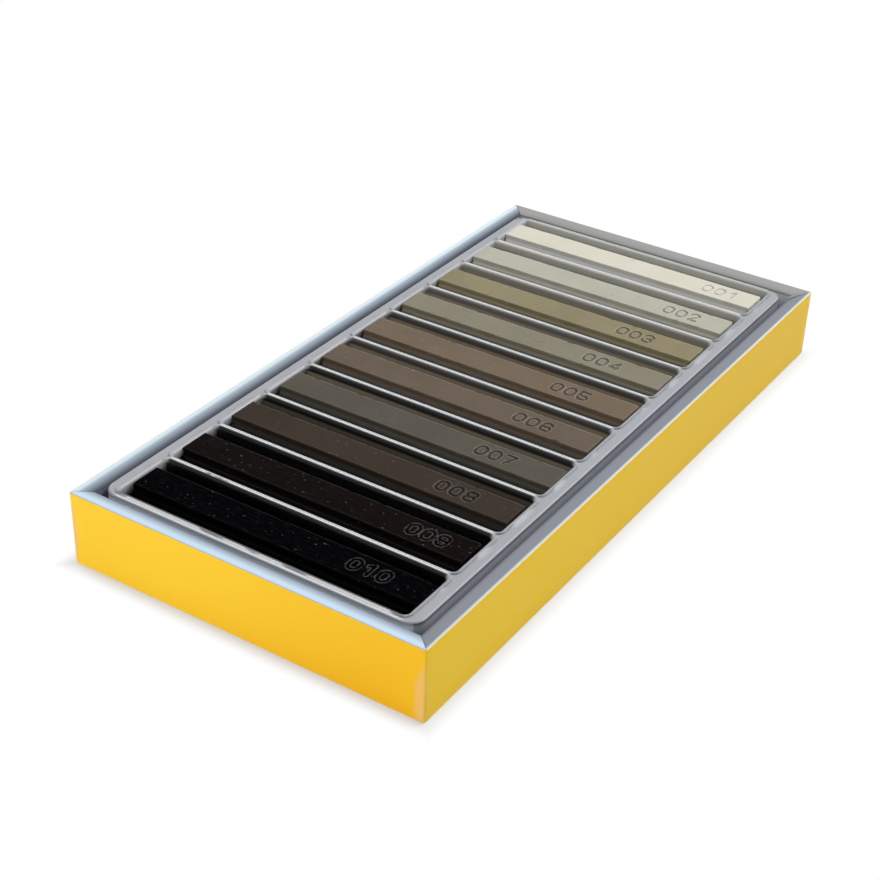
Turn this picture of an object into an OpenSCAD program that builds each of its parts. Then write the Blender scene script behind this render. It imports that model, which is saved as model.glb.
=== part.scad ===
// Assortment of ten soft wax sticks for furniture repair, in a thermoformed inlay that stands in an open folded carton.
// The origin is the middle of the carton's underside. The sticks lie along X, the row of sticks runs along Y, Z is up.

/* [Wax stick] */
// Length of a stick
stick_l = 80; // [70:0.5:100]
// Full height of a stick
stick_h = 8.3; // [7.6:0.1:9.5]
// Width of the flat band on top that carries the number
stick_face_w = 8.4; // [7.6:0.1:9.2]
// Height of the step between the flat band and the ledge beside it
stick_step_h = 2; // [1.6:0.1:2.6]
// Radius of the hollow at the foot of the step
stick_hollow_r = 0.9; // [0.5:0.05:1.1]
// Width over the two ledges
stick_ledge_w = 13.2; // [12.4:0.1:13.6]
// Fall of each ledge towards the outside
stick_ledge_fall = 0.3; // [0.1:0.05:0.6]
// Width of the base
stick_base_w = 14.2; // [13.8:0.1:15.5]
// Lean of each end face, from the top to the base
stick_end_lean = 0.7; // [0.1:0.05:1.1]
// Chamfer on the long edges of the flat band
stick_edge = 0.25; // [0.1:0.05:0.5]

/* [Numerals] */
// Height of a numeral
numeral_h = 4.5; // [3.5:0.1:5.5]
// Width of a numeral
numeral_w = 3.2; // [2.8:0.1:3.6]
// Distance from one numeral to the next
numeral_pitch = 3.9; // [3.8:0.1:4.6]
// Width of the engraved stroke
stroke_w = 0.7; // [0.4:0.05:0.8]
// Depth of the engraving
stroke_depth = 0.4; // [0.2:0.05:0.8]
// Distance from the right end of the stick to the last numeral
numeral_margin = 12.3; // [9:0.1:20]

/* [Inlay] */
// Thickness of the plastic sheet
sheet = 0.5; // [0.3:0.05:0.55]
// Width of the ridge between two cavities, at its top
ridge_w = 1.3; // [1.25:0.05:2.5]
// Lean of a long cavity wall, from its top to the floor
cavity_lean = 1.25; // [0.8:0.05:2]
// Lean of a short cavity wall, from its top to the floor
cavity_end_lean = 0.5; // [0.3:0.05:0.5]
// Width of the flat flange at each side
flange_w = 3.4; // [2.5:0.1:6]
// Width of the rim at each end of the row
end_rim_w = 1.6; // [1.3:0.1:4]
// Radius of the upright corners
inlay_corner_r = 4; // [2:0.1:5]
// Height by which the sticks stand above the inlay
stick_proud = 0.5; // [0.2:0.1:1.6]

/* [Carton] */
// Full height of the carton
carton_h = 20; // [19:0.5:26]
// Thickness of the board
board = 0.5; // [0.3:0.05:0.8]
// Width of the sloped rim panel, seen from above
rim_w = 4.3; // [3.5:0.1:7]
// Fall of the sloped rim panel
rim_fall = 0.8; // [0.6:0.1:3]
// Height of the rim above the inlay
inlay_below_rim = 0.5; // [0.3:0.1:2]
// Opening between the inner leg of a rim panel and the base
leg_gap = 0.4; // [0.2:0.05:1]
// Width of the mitre slit between two rim panels
mitre_slit = 0.2; // [0.1:0.05:0.4]

/* [Clearances] */
// Play between a stick and its cavity at each long side of the base
side_play = 0.25; // [0.15:0.05:1]
// Play between a stick and its cavity at each end
end_play = 0.6; // [0.4:0.05:2]
// Gap between the inlay and the carton at each side
inlay_side_gap = 1.2; // [0.5:0.1:3]
// Gap between the inlay and the carton at each end of the row
inlay_end_gap = 1.25; // [0.5:0.05:3]

/* [Hidden] */
$fn = 64;

// Depth by which a cut runs past the face that it opens
overrun = 1;

// Colours of the wax from the palest stick to the black one
WAX_COLOURS = [
    [0.86, 0.83, 0.77],
    [0.72, 0.72, 0.66],
    [0.57, 0.53, 0.41],
    [0.55, 0.53, 0.46],
    [0.47, 0.41, 0.34],
    [0.43, 0.37, 0.31],
    [0.36, 0.34, 0.30],
    [0.26, 0.22, 0.19],
    [0.11, 0.08, 0.08],
    [0.03, 0.03, 0.04]
];

// Where each stick lies between the ends of its cavity, as a share of the play there
REST_SHARES = [-0.4, -0.3, -0.1, 0.1, 0, -0.1, 0.6, -0.4, -0.6, 0.7];

// How much closer to the right end each number is pressed than the numeral margin says
NUMERAL_SHIFTS = [7, 4, -0.8, -1, 0, 0, 0, 1.5, 6, 2.3];

// Where the inlay lies between the long sides of the carton, as a share of the gap there
INLAY_REST_SHARE = -0.7;

// Number of sticks in the row
stick_count = len(WAX_COLOURS);

// Cavities and the row that they form
cavity_floor_w = stick_base_w + 2 * side_play;
cavity_w = cavity_floor_w + 2 * cavity_lean;
cavity_l = stick_l + 2 * end_play;
cavity_floor_l = cavity_l - 2 * cavity_end_lean;
pitch = cavity_w + ridge_w;

// Inlay, over all
inlay_w = cavity_l + 2 * flange_w;
inlay_l = stick_count * pitch - ridge_w + 2 * end_rim_w;
inlay_top = carton_h - inlay_below_rim;
cavity_floor_z = inlay_top + stick_proud - stick_h;

// Carton, over all, and the well between its inner legs
well_w = inlay_w + 2 * inlay_side_gap;
well_l = inlay_l + 2 * inlay_end_gap;
carton_w = well_w + 2 * rim_w;
carton_l = well_l + 2 * rim_w;
inlay_rest_x = INLAY_REST_SHARE * inlay_side_gap;

// Slope of a rim panel, which starts one board inside the outer face, and its thickness measured upright
slope_w = rim_w - board;
panel_drop = board * norm([slope_w, rim_fall]) / slope_w;

// Row position of a stick, counted from the far end
function stick_y(index) = ((stick_count - 1) / 2 - index) * pitch;

// Block of a given plan size, centred on the Z axis, between two heights
module block(w, l, z_low, z_high) {
    translate([-w / 2, -l / 2, z_low]) cube([w, l, z_high - z_low]);
}

// Block whose plan grows from one size at its foot to another at its top
module flared_block(low_w, low_l, high_w, high_l, z_low, z_high) {
    intersection() {
        rotate([90, 0, 0])
            translate([0, 0, -max(low_l, high_l)])
            linear_extrude(2 * max(low_l, high_l))
            polygon([[-low_w / 2, z_low], [low_w / 2, z_low], [high_w / 2, z_high], [-high_w / 2, z_high]]);
        rotate([90, 0, 90])
            translate([0, 0, -max(low_w, high_w)])
            linear_extrude(2 * max(low_w, high_w))
            polygon([[-low_l / 2, z_low], [low_l / 2, z_low], [high_l / 2, z_high], [-high_l / 2, z_high]]);
    }
}

// Block with rounded upright corners
module rounded_block(w, l, r, z_low, z_high) {
    translate([0, 0, z_low]) linear_extrude(z_high - z_low) {
        square([w - 2 * r, l], center = true);
        square([w, l - 2 * r], center = true);
        for (x_side = [-1, 1], y_side = [-1, 1])
            translate([x_side * (w / 2 - r), y_side * (l / 2 - r)]) circle(r);
    }
}

// Open tray of one folded blank. Each wall turns over at the rim into a sloped panel and an upright inner leg.
module folded_carton() {
    color([1.0, 0.8, 0.2]) difference() {
        block(carton_w, carton_l, 0, carton_h);
        rim_well();
        block(well_w, well_l, board, carton_h);
        wall_hollow();
        leg_openings();
        mitre_slits();
    }
}

// Space above the four sloped rim panels
module rim_well() {
    top_share = (rim_fall + overrun) / rim_fall;
    flared_block(well_w, well_l, well_w + 2 * slope_w * top_share, well_l + 2 * slope_w * top_share,
        carton_h - rim_fall, carton_h + overrun);
}

// Space that the wall, the sloped panel and the inner leg enclose
module wall_hollow() {
    low_z = carton_h - rim_fall - panel_drop;
    top_share = (rim_fall + panel_drop) / rim_fall;
    difference() {
        block(carton_w - 2 * board, carton_l - 2 * board, board, carton_h);
        flared_block(well_w, well_l, well_w + 2 * slope_w * top_share, well_l + 2 * slope_w * top_share,
            low_z, carton_h);
        block(well_w + 2 * board, well_l + 2 * board, 0, low_z + board);
    }
}

// Gap under the inner legs, which end just short of the base
module leg_openings() {
    block(well_w + 2 * board + overrun, well_l + 2 * board + overrun, board, board + leg_gap);
}

// Slits where neighbouring rim panels and legs meet at the four corners
module mitre_slits() {
    slit_l = (slope_w - board) * sqrt(2) + overrun;
    for (x_side = [-1, 1], y_side = [-1, 1])
        translate([x_side * well_w / 2, y_side * well_l / 2, 0])
            rotate([0, 0, x_side * y_side * 45 + (x_side < 0 ? 180 : 0)])
            translate([-overrun, -mitre_slit / 2, board])
            cube([slit_l, mitre_slit, carton_h]);
}

// Thermoformed sheet, open underneath, with a drafted cavity for each stick
module inlay_tray() {
    color([0.73, 0.74, 0.77]) translate([inlay_rest_x, 0, 0]) difference() {
        union() {
            inlay_shell();
            for (index = [0 : stick_count - 1]) cavity_wall(index);
        }
        for (index = [0 : stick_count - 1]) cavity_space(index);
    }
}

// Top sheet and skirt of the inlay, before the cavities are pressed in
module inlay_shell() {
    difference() {
        rounded_block(inlay_w, inlay_l, inlay_corner_r, board, inlay_top);
        rounded_block(inlay_w - 2 * sheet, inlay_l - 2 * sheet, inlay_corner_r - sheet, 0, inlay_top - sheet);
    }
}

// Outside of one cavity, one sheet larger than its space
module cavity_wall(index) {
    translate([0, stick_y(index), 0])
        flared_block(cavity_floor_l + 2 * sheet, cavity_floor_w + 2 * sheet, cavity_l + 2 * sheet,
            cavity_w + 2 * sheet, cavity_floor_z - sheet, inlay_top);
}

// Space of one cavity, carried on above the inlay at the same lean
module cavity_space(index) {
    cavity_h = inlay_top - cavity_floor_z;
    top_share = (cavity_h + overrun) / cavity_h;
    translate([0, stick_y(index), 0])
        flared_block(cavity_floor_l, cavity_floor_w, cavity_floor_l + 2 * cavity_end_lean * top_share,
            cavity_floor_w + 2 * cavity_lean * top_share, cavity_floor_z, inlay_top + overrun);
}

// Section of a stick on the YZ plane, with its base at the origin
module stick_section() {
    ledge_z = stick_h - stick_step_h;
    polygon([
        [-stick_base_w / 2, 0],
        [stick_base_w / 2, 0],
        [stick_ledge_w / 2, ledge_z - stick_ledge_fall],
        [stick_face_w / 2 + stick_hollow_r, ledge_z],
        [stick_face_w / 2, ledge_z],
        [stick_face_w / 2, stick_h - stick_edge],
        [stick_face_w / 2 - stick_edge, stick_h],
        [-stick_face_w / 2 + stick_edge, stick_h],
        [-stick_face_w / 2, stick_h - stick_edge],
        [-stick_face_w / 2, ledge_z],
        [-stick_face_w / 2 - stick_hollow_r, ledge_z],
        [-stick_ledge_w / 2, ledge_z - stick_ledge_fall]
    ]);
    for (side = [-1, 1])
        translate([side * (stick_face_w / 2 + stick_hollow_r), ledge_z + stick_hollow_r]) difference() {
            translate([side < 0 ? 0 : -stick_hollow_r, -stick_hollow_r]) square(stick_hollow_r);
            circle(stick_hollow_r);
        }
}

// One cast stick with its place in the row as a three-figure number
module wax_stick(index) {
    rest_x = inlay_rest_x + REST_SHARES[index] * end_play;
    number_end_x = stick_l / 2 - numeral_margin + NUMERAL_SHIFTS[index];
    color(WAX_COLOURS[index]) translate([rest_x, stick_y(index), cavity_floor_z]) difference() {
        intersection() {
            rotate([90, 0, 90]) translate([0, 0, -stick_l]) linear_extrude(2 * stick_l) stick_section();
            flared_block(stick_l - 2 * stick_end_lean, stick_base_w + 2 * overrun, stick_l,
                stick_base_w + 2 * overrun, 0, stick_h);
        }
        translate([number_end_x, -numeral_h / 2, stick_h - stroke_depth])
            linear_extrude(stroke_depth + overrun) number(index + 1);
    }
}

// Three numerals that end at the origin and read along X
module number(value) {
    for (place = [0 : 2])
        translate([-numeral_w - place * numeral_pitch, 0])
            numeral(floor(value / pow(10, place)) % 10);
}

// One numeral of even stroke, in a box of numeral_w by numeral_h
module numeral(digit) {
    if (digit == 0) pill_loop(numeral_w, numeral_h);
    if (digit == 1) numeral_one();
    if (digit == 2) numeral_two();
    if (digit == 3) numeral_three();
    if (digit == 4) numeral_four();
    if (digit == 5) numeral_five();
    if (digit == 6) numeral_six();
    if (digit == 7) numeral_seven();
    if (digit == 8) numeral_eight();
    if (digit == 9) translate([numeral_w, numeral_h]) rotate(180) numeral_six();
}

// Height of the round half of a numeral such as an eight, whose two halves share one stroke
lobe_h = (numeral_h + stroke_w) / 2;

// Filled outline with round ends, its lower left corner at the origin
module pill(w, h) {
    r = min(w, h) / 2;
    translate([r, r]) circle(r);
    translate([w - r, h - r]) circle(r);
    if (w > h) translate([r, 0]) square([w - 2 * r, h]);
    if (h > w) translate([0, r]) square([w, h - 2 * r]);
}

// Outline of one stroke around a pill
module pill_loop(w, h) {
    difference() {
        pill(w, h);
        translate([stroke_w, stroke_w]) pill(w - 2 * stroke_w, h - 2 * stroke_w);
    }
}

// Straight stroke between two points, with round ends
module stroke(from, to) {
    run = to - from;
    translate(from) rotate(atan2(run[1], run[0])) translate([0, -stroke_w / 2]) square([norm(run), stroke_w]);
    translate(from) circle(stroke_w / 2);
    translate(to) circle(stroke_w / 2);
}

module numeral_one() {
    stem_share = 0.6;
    flag_share = 0.24;
    stem_x = stem_share * numeral_w;
    stroke([stem_x, stroke_w / 2], [stem_x, numeral_h - stroke_w / 2]);
    stroke([stem_x, numeral_h - stroke_w / 2], [stem_x - flag_share * numeral_h, numeral_h * (1 - flag_share)]);
}

module numeral_two() {
    difference() {
        translate([0, numeral_h - lobe_h]) pill_loop(numeral_w, lobe_h);
        translate([-stroke_w, numeral_h - lobe_h - stroke_w]) square([numeral_w + 2 * stroke_w, lobe_h / 2 + stroke_w]);
    }
    stroke([numeral_w - stroke_w / 2, numeral_h - lobe_h / 2], [stroke_w / 2, stroke_w / 2]);
    stroke([stroke_w / 2, stroke_w / 2], [numeral_w - stroke_w / 2, stroke_w / 2]);
}

module numeral_three() {
    open_share = 0.4;
    difference() {
        numeral_eight();
        translate([-stroke_w, lobe_h / 2])
            square([open_share * numeral_w + stroke_w, numeral_h - lobe_h]);
    }
}

module numeral_four() {
    bar_share = 0.3;
    stem_share = 0.72;
    stem_x = stem_share * numeral_w;
    bar_y = bar_share * numeral_h;
    stroke([stem_x, stroke_w / 2], [stem_x, numeral_h - stroke_w / 2]);
    stroke([stem_x, numeral_h - stroke_w / 2], [stroke_w / 2, bar_y]);
    stroke([stroke_w / 2, bar_y], [numeral_w - stroke_w / 2, bar_y]);
}

module numeral_five() {
    open_share = 0.3;
    difference() {
        pill_loop(numeral_w, lobe_h);
        translate([-stroke_w, lobe_h / 2]) square([open_share * numeral_w + stroke_w, lobe_h / 2 - stroke_w]);
        translate([-stroke_w, lobe_h / 2]) square([stroke_w + stroke_w, lobe_h]);
    }
    stroke([stroke_w / 2, lobe_h - stroke_w / 2], [stroke_w / 2, numeral_h - stroke_w / 2]);
    stroke([stroke_w / 2, lobe_h - stroke_w / 2], [numeral_w / 2, lobe_h - stroke_w / 2]);
    stroke([stroke_w / 2, numeral_h - stroke_w / 2], [numeral_w - stroke_w / 2, numeral_h - stroke_w / 2]);
}

module numeral_six() {
    pill_loop(numeral_w, lobe_h);
    difference() {
        pill_loop(numeral_w, numeral_h);
        translate([-stroke_w, -stroke_w]) square([numeral_w + 2 * stroke_w, lobe_h / 2 + stroke_w]);
        translate([numeral_w / 2, 0]) square([numeral_w, numeral_h - lobe_h / 2]);
    }
}

module numeral_seven() {
    foot_share = 0.3;
    stroke([stroke_w / 2, numeral_h - stroke_w / 2], [numeral_w - stroke_w / 2, numeral_h - stroke_w / 2]);
    stroke([numeral_w - stroke_w / 2, numeral_h - stroke_w / 2], [foot_share * numeral_w, stroke_w / 2]);
}

module numeral_eight() {
    pill_loop(numeral_w, lobe_h);
    translate([0, numeral_h - lobe_h]) pill_loop(numeral_w, lobe_h);
}

module wax_stick_01() { wax_stick(0); }
module wax_stick_02() { wax_stick(1); }
module wax_stick_03() { wax_stick(2); }
module wax_stick_04() { wax_stick(3); }
module wax_stick_05() { wax_stick(4); }
module wax_stick_06() { wax_stick(5); }
module wax_stick_07() { wax_stick(6); }
module wax_stick_08() { wax_stick(7); }
module wax_stick_09() { wax_stick(8); }
module wax_stick_10() { wax_stick(9); }

folded_carton();
inlay_tray();
wax_stick_01();
wax_stick_02();
wax_stick_03();
wax_stick_04();
wax_stick_05();
wax_stick_06();
wax_stick_07();
wax_stick_08();
wax_stick_09();
wax_stick_10();
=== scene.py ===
import math

import bmesh
import bpy
import numpy as np
from mathutils import Matrix, Vector, noise


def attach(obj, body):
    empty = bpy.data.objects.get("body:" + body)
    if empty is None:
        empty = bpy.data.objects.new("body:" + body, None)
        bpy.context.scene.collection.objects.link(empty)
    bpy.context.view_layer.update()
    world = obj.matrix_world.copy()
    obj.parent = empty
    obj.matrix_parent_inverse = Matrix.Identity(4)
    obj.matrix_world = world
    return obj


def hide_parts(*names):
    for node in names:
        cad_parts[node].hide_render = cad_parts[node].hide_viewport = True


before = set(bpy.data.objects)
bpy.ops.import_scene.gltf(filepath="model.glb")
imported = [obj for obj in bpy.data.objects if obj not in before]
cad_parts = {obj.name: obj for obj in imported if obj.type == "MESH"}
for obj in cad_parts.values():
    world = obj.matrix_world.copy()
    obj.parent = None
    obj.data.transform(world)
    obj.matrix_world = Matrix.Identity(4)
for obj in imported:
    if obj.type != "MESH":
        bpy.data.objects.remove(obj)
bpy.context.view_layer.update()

# Camera. It looks down on the set from in front of the black stick's right end, through the long lens and
# with the slight roll that the perspective of the carton's edges gives.
view_azimuth = math.radians(32.32)
view_elevation = math.radians(32.148)
view_roll = math.radians(2)
view_distance = 0.45892
view_shift_right = 0.00982
view_shift_up = -0.00173

back = Vector((math.sin(view_azimuth) * math.cos(view_elevation),
               -math.cos(view_azimuth) * math.cos(view_elevation),
               math.sin(view_elevation)))
level_right = Vector((0, 0, 1)).cross(back).normalized()
level_up = back.cross(level_right)
right = level_right * math.cos(view_roll) + level_up * math.sin(view_roll)
up = level_up * math.cos(view_roll) - level_right * math.sin(view_roll)

lens_data = bpy.data.cameras.new("view_lens")
lens_data.sensor_width = 36
lens_data.lens = 71.2
lens_data.clip_start = 0.01
lens_data.clip_end = 20
camera = bpy.data.objects.new("view_camera", lens_data)
camera.matrix_world = Matrix((right, up, back)).transposed().to_4x4()
camera.location = back * view_distance - right * view_shift_right - up * view_shift_up
bpy.context.scene.collection.objects.link(camera)
bpy.context.scene.camera = camera
bpy.context.scene.view_settings.view_transform = "Standard"


# Table. A wide sheet of plain white card under three soft lamps, one behind the set, a low one in front and
# a small one above, in an even white room. Seen directly the card is white, less so right beside the set.
class Wire:
    """One output of a node. Python's operators on it add the Math nodes that work the result out."""

    def __init__(self, finish, socket):
        self.finish = finish
        self.socket = socket

    def out(self, name):
        return Wire(self.finish, self.socket.node.outputs[name])

    def __add__(self, other):
        return self.finish.maths("ADD", self, other)

    __radd__ = __add__

    def __sub__(self, other):
        return self.finish.maths("SUBTRACT", self, other)

    def __rsub__(self, other):
        return self.finish.maths("SUBTRACT", other, self)

    def __mul__(self, other):
        return self.finish.maths("MULTIPLY", self, other)

    __rmul__ = __mul__

    def __truediv__(self, other):
        return self.finish.maths("DIVIDE", self, other)

    def __abs__(self):
        return self.finish.maths("ABSOLUTE", self)

    def or_more(self, other):
        return self.finish.maths("MAXIMUM", self, other)

    def or_less(self, other):
        return self.finish.maths("MINIMUM", self, other)

    def rise(self, low, high):
        """0 where the value is below low, 1 where it is above high, and a smooth rise between them."""
        return self.finish.node("ShaderNodeMapRange", {"interpolation_type": "SMOOTHSTEP"},
                                {"Value": self, "From Min": low, "From Max": high})


class Finish:
    """The nodes of one material."""

    def __init__(self, name):
        self.material = bpy.data.materials.new(name)
        self.material.use_nodes = True
        self.tree = self.material.node_tree
        self.tree.nodes.clear()

    def node(self, kind, settings=None, sockets=None):
        """Adds a node of a kind, applies its settings, then gives its sockets their values or links."""
        made = self.tree.nodes.new(kind)
        for name, value in (settings or {}).items():
            setattr(made, name, value)
        for name, value in (sockets or {}).items():
            if isinstance(value, Wire):
                self.tree.links.new(value.socket, made.inputs[name])
            else:
                made.inputs[name].default_value = value
        return Wire(self, made.outputs[0]) if made.outputs else None

    def maths(self, operation, *values):
        return self.node("ShaderNodeMath", {"operation": operation}, dict(enumerate(values)))

    def mix(self, share, first, second):
        """A colour part of the way from the first to the second."""
        return self.node("ShaderNodeMix", {"data_type": "RGBA"}, {0: share, 6: first, 7: second}).out(2)

    def place(self):
        """Where a point of the surface is on the object at rest, in metres."""
        return self.node("ShaderNodeTexCoord").out("Object")

    def stretched(self, place, factors):
        return self.node("ShaderNodeVectorMath", {"operation": "MULTIPLY"}, {0: place, 1: factors})

    def cloud(self, place, scale, detail=2, roughness=0.5):
        """Soft random patches, from 0 to 1, about a metre divided by the scale in size."""
        return self.node("ShaderNodeTexNoise", None,
                         {"Vector": place, "Scale": scale, "Detail": detail, "Roughness": roughness})

    def surface(self, colour, roughness, relief=None, relief_depth=0.0, **fixed):
        """One shader closes the material. The relief is a height from 0 to 1 times its depth in metres."""
        sockets = {"Base Color": colour, "Roughness": roughness}
        sockets.update({name.replace("_", " "): value for name, value in fixed.items()})
        if relief is not None:
            sockets["Normal"] = self.node("ShaderNodeBump", None,
                                          {"Strength": 1, "Distance": relief_depth, "Height": relief})
        shader = self.node("ShaderNodeBsdfPrincipled", None, sockets)
        self.node("ShaderNodeOutputMaterial", None, {"Surface": shader})
        return self.material


card = Finish("table_card")
ray = card.node("ShaderNodeLightPath")
looked_at = (ray.out("Is Camera Ray") + ray.out("Is Glossy Ray") + ray.out("Is Transmission Ray")).or_less(1)
card_place = card.node("ShaderNodeNewGeometry").out("Position")
card_parts = card.node("ShaderNodeSeparateXYZ", None, {0: card_place})
set_half_x = 0.0495
set_half_y = 0.099
white_beside_set = 0.38
past_set = (abs(card_parts.out("X")) - set_half_x).or_more(abs(card_parts.out("Y")) - set_half_y)
white_share = past_set.rise(-0.001, 0.0045) * (1 - white_beside_set) + white_beside_set
card_paper = card.node("ShaderNodeBsdfDiffuse", None, {"Color": (0.82, 0.87, 0.96, 1)})
card_white = card.node("ShaderNodeEmission", None, {"Color": (1, 1, 1, 1), "Strength": 1})
card_mix = card.node("ShaderNodeMixShader", None, {0: looked_at * white_share, 1: card_paper, 2: card_white})
card.node("ShaderNodeOutputMaterial", None, {"Surface": card_mix})

table_half = 3.0
table_z = -0.00005
table_signs = [(-1, -1), (1, -1), (1, 1), (-1, 1)]
table_corners = [(x * table_half, y * table_half, table_z) for x, y in table_signs]
table_mesh = bpy.data.meshes.new("table")
table_mesh.from_pydata(table_corners, [], [(0, 1, 2, 3)])
table_mesh.materials.append(card.material)
table = bpy.data.objects.new("table", table_mesh)
bpy.context.scene.collection.objects.link(table)

room_light = 0.36
room = bpy.data.worlds.new("room")
room.use_nodes = True
room_nodes = room.node_tree.nodes
room_nodes["Background"].inputs["Color"].default_value = (1, 1, 1, 1)
room_nodes["Background"].inputs["Strength"].default_value = room_light
room_white = room_nodes.new("ShaderNodeBackground")
room_white.inputs["Color"].default_value = (1, 1, 1, 1)
room_white.inputs["Strength"].default_value = 1
room_ray = room_nodes.new("ShaderNodeLightPath")
room_mix = room_nodes.new("ShaderNodeMixShader")
room_links = room.node_tree.links
room_links.new(room_ray.outputs["Is Camera Ray"], room_mix.inputs[0])
room_links.new(room_nodes["Background"].outputs[0], room_mix.inputs[1])
room_links.new(room_white.outputs[0], room_mix.inputs[2])
room_links.new(room_mix.outputs[0], room_nodes["World Output"].inputs["Surface"])
bpy.context.scene.world = room


def soft_lamp(name, direction, distance, width, height, watts, colour):
    """A flat lamp that shines at the middle of the set from a direction."""
    data = bpy.data.lights.new(name, "AREA")
    data.shape = "RECTANGLE"
    data.size = width
    data.size_y = height
    data.energy = watts
    data.color = colour
    lamp = bpy.data.objects.new(name, data)
    away = Vector(direction).normalized()
    lamp.location = away * distance
    lamp.rotation_euler = away.to_track_quat("Z", "Y").to_euler()
    bpy.context.scene.collection.objects.link(lamp)


# Each lamp's name, direction, distance, width, height, watts and colour.
soft_lamp("lamp_behind", (0.42, 0.58, 0.70), 1.3, 0.8, 0.8, 11.0, (1.0, 0.99, 0.98))
soft_lamp("lamp_front", (-0.25, -0.97, 0.055), 1.3, 1.0, 0.12, 7.6, (1.0, 0.99, 0.96))
soft_lamp("lamp_above", (-0.45, 0.10, 0.89), 1.2, 0.35, 0.35, 3.0, (1.0, 1.0, 1.0))


# Folded carton. One blank of thin coated board, printed yellow outside: each wall turns over at the rim into
# a rolled panel and an upright leg, which are bare coated board. The corners are mitred, and the legs hold
# the inlay in place.
mm = 0.001
carton_half_w = 49.5
carton_half_l = 99.0
carton_h = 20.0
carton_board = 0.45
carton_corner_r = 0.6
wall_corner_r = 0.65
wall_foot_z = 1.6
wall_sag = 0.05
wall_sag_spread = 0.04
base_fold_r = 0.55
fold_r = 0.42
rim_w = 4.3
rim_fall = 0.8
rim_roll = 0.5
nose_w = 0.25
nose_drop = 0.16
nose_curl = 0.12
panel_wave = 0.10
corner_rise = 0.26
mitre_gap = 0.16
leg_end_z = 0.9


def colour_of(red, green, blue):
    """The shader's colour for a colour as it looks, each part from 0 to 255."""
    parts = [part / 255 for part in (red, green, blue)]
    linear = [part / 12.92 if part <= 0.04045 else ((part + 0.055) / 1.055) ** 2.4 for part in parts]
    return (*linear, 1)


def wobble(x, y, z, scale, seed):
    """Smooth random unevenness between about -1 and 1, with lumps one scale long."""
    return noise.noise(Vector((x / scale + seed, y / scale, z / scale)))


def rounded_loop(half_x, half_y, radius, steps_x, steps_y, steps_corner):
    """A rectangle with round corners, anticlockwise from the left end of its near side."""
    flat_x = half_x - radius
    flat_y = half_y - radius
    along_x = np.linspace(-flat_x, flat_x, steps_x + 1)
    along_y = np.linspace(-flat_y, flat_y, steps_y + 1)
    points = []
    for turn in range(4):
        if turn == 0:
            points += [(x, -half_y) for x in along_x]
        elif turn == 1:
            points += [(half_x, y) for y in along_y]
        elif turn == 2:
            points += [(x, half_y) for x in along_x[::-1]]
        else:
            points += [(-half_x, y) for y in along_y[::-1]]
        corner_x = flat_x if turn in (0, 1) else -flat_x
        corner_y = -flat_y if turn in (0, 3) else flat_y
        for step in range(1, steps_corner):
            angle = math.pi / 2 * (turn - 1 + step / steps_corner)
            points.append((corner_x + radius * math.cos(angle), corner_y + radius * math.sin(angle)))
    return points


def band_faces(first, second, closed=True):
    """Quads between two rows of point numbers of equal length."""
    count = len(first)
    return [(first[i], first[(i + 1) % count], second[(i + 1) % count], second[i])
            for i in range(count if closed else count - 1)]


def made_piece(name, points, faces, material, sharp_angle=40.0):
    """A mesh piece from points in millimetres."""
    mesh = bpy.data.meshes.new(name)
    mesh.from_pydata([tuple(float(part) * mm for part in point) for point in points], [], faces)
    mesh.polygons.foreach_set("use_smooth", [True] * len(mesh.polygons))
    mesh.set_sharp_from_angle(angle=math.radians(sharp_angle))
    mesh.materials.append(material)
    piece = bpy.data.objects.new(name, mesh)
    bpy.context.scene.collection.objects.link(piece)
    return piece


def thickened(piece, thickness, sharp_angle=40.0):
    """Gives a sheet its thickness, on the side away from its normals."""
    solid = piece.modifiers.new("thickness", "SOLIDIFY")
    solid.thickness = thickness * mm
    solid.offset = -1
    evaluated = piece.evaluated_get(bpy.context.evaluated_depsgraph_get())
    mesh = bpy.data.meshes.new_from_object(evaluated)
    piece.modifiers.clear()
    piece.data = mesh
    mesh.set_sharp_from_angle(angle=math.radians(sharp_angle))
    return piece


def rim_profile():
    """Rows of a rim panel from the top of the wall inwards: distance in from the outside, and height."""
    rows = []
    first_slope = rim_fall / (rim_w - 0.5) * (1 - rim_roll)
    first_turn = math.pi / 2 - math.atan(first_slope)
    for step in range(1, 7):
        angle = first_turn * step / 6
        rows.append((fold_r * (1 - math.cos(angle)), carton_h - fold_r + fold_r * math.sin(angle)))
    start_in, start_z = rows[-1]
    run = rim_w - nose_w - start_in
    fall = rim_fall - nose_curl - (carton_h - start_z)
    for step in range(1, 13):
        share = step / 12
        fallen = (1 - rim_roll) * share + rim_roll * share ** 2
        rows.append((start_in + run * share, start_z - fall * fallen))
    last_in, last_z = rows[-1]
    for step in range(1, 4):
        share = step / 3
        rows.append((last_in + nose_w * share, last_z - nose_drop * share - nose_curl * share ** 2))
    for z in (12.0, 7.0, leg_end_z):
        rows.append((rim_w, z))
    return rows


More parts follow.
